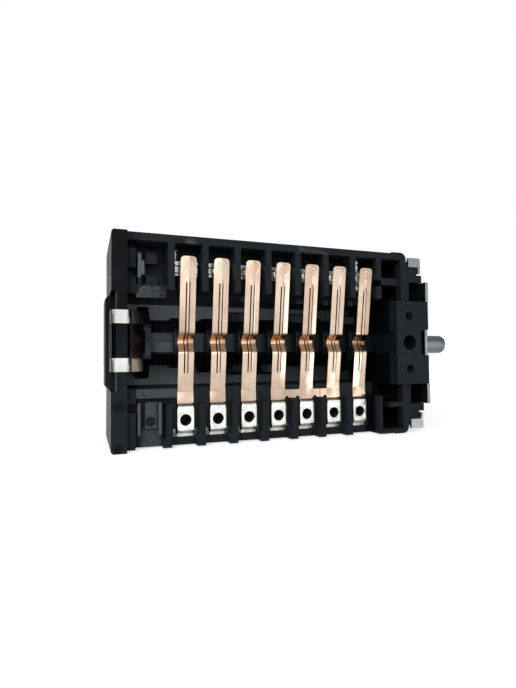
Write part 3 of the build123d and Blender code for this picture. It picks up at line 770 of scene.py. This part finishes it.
scar_colors = ((0.006, 0.008, 0.009), (0.036, 0.042, 0.045))
disc_colors = ((0.003, 0.004, 0.0045), (0.005, 0.0065, 0.007))
scar_look = plastic("scar_plastic", scar_colors, (0.35, 0.6), grain=0.6, gloss=0.35)[0]
disc_look = plastic("disc_plastic", disc_colors, (0.5, 0.65), grain=0.3, gloss=0.09)[0]

# Depths of the faces that carry the marks, counted back from FRONT
END_WALL_DEPTH = 0
SPARE_BAR_DEPTH = 2.5
BURR_DEPTH = 2.9
LOWER_WALL_DEPTH = 5.4
UPPER_WALL_DEPTH = 8.0
scar("gate_scar_1", (-87.55, -80.2), (11.1, 14.3), SPARE_BAR_DEPTH, 0.2, 0.9, scar_look)
scar("gate_scar_2", (-85.0, -80.1), (11.1, 13.2), SPARE_BAR_DEPTH, 1.2, 0.7, scar_look, step=0.33)
scar("gate_scar_3", (-72.3, -68.9), (-14.2, -12.2), LOWER_WALL_DEPTH, 0.16, 2.0, looks["black_moulding"])
for number, x in enumerate((-57.2, -39.9, -31.1, -22.4), 1):
    scar(f"rib_scar_{number}", (x - 0.9, x + 1.0), (11.6, 13.4), UPPER_WALL_DEPTH, 0.3, 1.6, scar_look)
burrs = (((-78.2, -77.3), (20.9, 23.8), 0.5, 2.2),
         ((-24.3, -22.9), (20.9, 25.0), 0.9, 1.3),
         ((-24.3, -22.9), (15.3, 17.3), 0.7, 1.3))
for number, (x, z, relief, grain) in enumerate(burrs, 1):
    scar(f"contact_burr_{number}", x, z, BURR_DEPTH, relief, grain, looks["silvered_strip"],
         square=8)
ejector_marks = ((-92.15, 16.2, 1.5), (-91.6, -16.0, 1.45), (-91.9, -26.0, 1.2))
for number, (x, z, radius) in enumerate(ejector_marks, 1):
    disc(f"ejector_mark_{number}", x, z, radius, END_WALL_DEPTH, disc_look)
gate_x, gate_z, gate_radius = -84.1, -12.05, 2.0
gate_arc = []
for degrees in range(180, 361, 10):
    angle = math.radians(degrees)
    gate_arc.append((gate_x + gate_radius * math.cos(angle), gate_z + gate_radius * math.sin(angle)))
ridge("gate_mark", gate_arc, SPARE_BAR_DEPTH, 0.14, 0.09, scar_look)


# Pale floor, lit as white as the background, with the object's soft shadow
def background_share(tree, low, high):
    """Value that is higher for rays from the camera, from gloss and through glass than for soft light"""
    light_path = tree.nodes.new("ShaderNodeLightPath")
    seen = maths(tree, "MAXIMUM", light_path.outputs["Is Camera Ray"], light_path.outputs["Is Glossy Ray"])
    seen = maths(tree, "MAXIMUM", seen, light_path.outputs["Is Transmission Ray"])
    return spread(tree, seen, low, high, 0, 1)


def sheet_look(name, grey, roughness, gloss, emission=0.0):
    """Even grey for the stage, which isn't part of the object"""
    made, tree, shader = material(name)
    shader.inputs["Base Color"].default_value = (grey, grey, grey, 1)
    shader.inputs["Roughness"].default_value = roughness
    shader.inputs["Specular IOR Level"].default_value = gloss
    shader.inputs["Emission Color"].default_value = (1, 1, 1, 1)
    shader.inputs["Emission Strength"].default_value = emission
    return made, tree, shader


def flat_sheet(name, corners, look):
    mesh = bpy.data.meshes.new(name)
    mesh.from_pydata(corners, [], [(0, 1, 2, 3)])
    mesh.materials.append(look)
    made = bpy.data.objects.new(name, mesh)
    scene.collection.objects.link(made)
    return made


# The floor's own glow rises from beside the object to that of the white background further out
floor_z = cad_low.z
floor_half = 3
floor_look, tree, shader = sheet_look("floor", 0.82, 0.9, 0.0)
away = tree.nodes.new("ShaderNodeVectorMath")
away.operation = "DISTANCE"
tree.links.new(object_point(tree), away.inputs[0])
away.inputs[1].default_value = (-0.04, 0, floor_z)
glow = spread(tree, away.outputs["Value"], 0.62, 1.0, low_at=0.08, high_at=0.3)
tree.links.new(both(tree, glow, background_share(tree, 0.0, 1.0)), shader.inputs["Emission Strength"])
flat_sheet("floor", [(-floor_half, -floor_half, floor_z), (floor_half, -floor_half, floor_z),
                     (floor_half, floor_half, floor_z), (-floor_half, floor_half, floor_z)], floor_look)

world = bpy.data.worlds.new("world")
scene.world = world
world.use_nodes = True
tree = world.node_tree
background = tree.nodes["Background"]
tree.links.new(background_share(tree, 0.28, 1.0), background.inputs["Strength"])
background.inputs["Color"].default_value = (1, 1, 1, 1)


# Cards around the table and a bright panel lying on it beside the camera, which only gloss sees
def gloss_card(name, corners, look):
    card = flat_sheet(name, corners, look)
    card.visible_camera = False
    card.visible_diffuse = False
    card.visible_shadow = False
    card.visible_transmission = False


side_x, side_low, side_high = 0.60, floor_z + 0.012, 0.75
top_z = 0.55
panel_z = floor_z + 0.001
gloss_card("card_side", [(side_x, -0.50, side_low), (side_x, 0.60, side_low),
                         (side_x, 0.60, side_high), (side_x, -0.50, side_high)],
           sheet_look("card", 0.012, 1.0, 0.0)[0])
gloss_card("card_top", [(-0.8, -0.8, top_z), (0.7, -0.8, top_z), (0.7, 0.5, top_z), (-0.8, 0.5, top_z)],
           sheet_look("card_grey", 0.0, 1.0, 0.0, emission=0.3)[0])
gloss_card("panel", [(-0.018, -0.050, panel_z), (0.28, -0.58, panel_z), (0.38, -0.54, panel_z),
                     (-0.002, -0.045, panel_z)],
           sheet_look("panel", 0.8, 0.5, 0.5, emission=2.6)[0])


def lamp(name, place, target, size, power):
    data = bpy.data.lights.new(name, "AREA")
    data.shape = "SQUARE"
    data.size = size
    data.energy = power
    made = bpy.data.objects.new(name, data)
    scene.collection.objects.link(made)
    made.location = place
    made.rotation_euler = (Vector(target) - Vector(place)).to_track_quat("-Z", "Y").to_euler()


centre = (-0.045, 0, 0)
lamp("key", (-0.38, -0.50, 0.30), centre, 0.30, 2.4)
lamp("front", (-0.15, -0.55, 0.03), centre, 0.5, 1.1)

scene.view_settings.view_transform = "Standard"
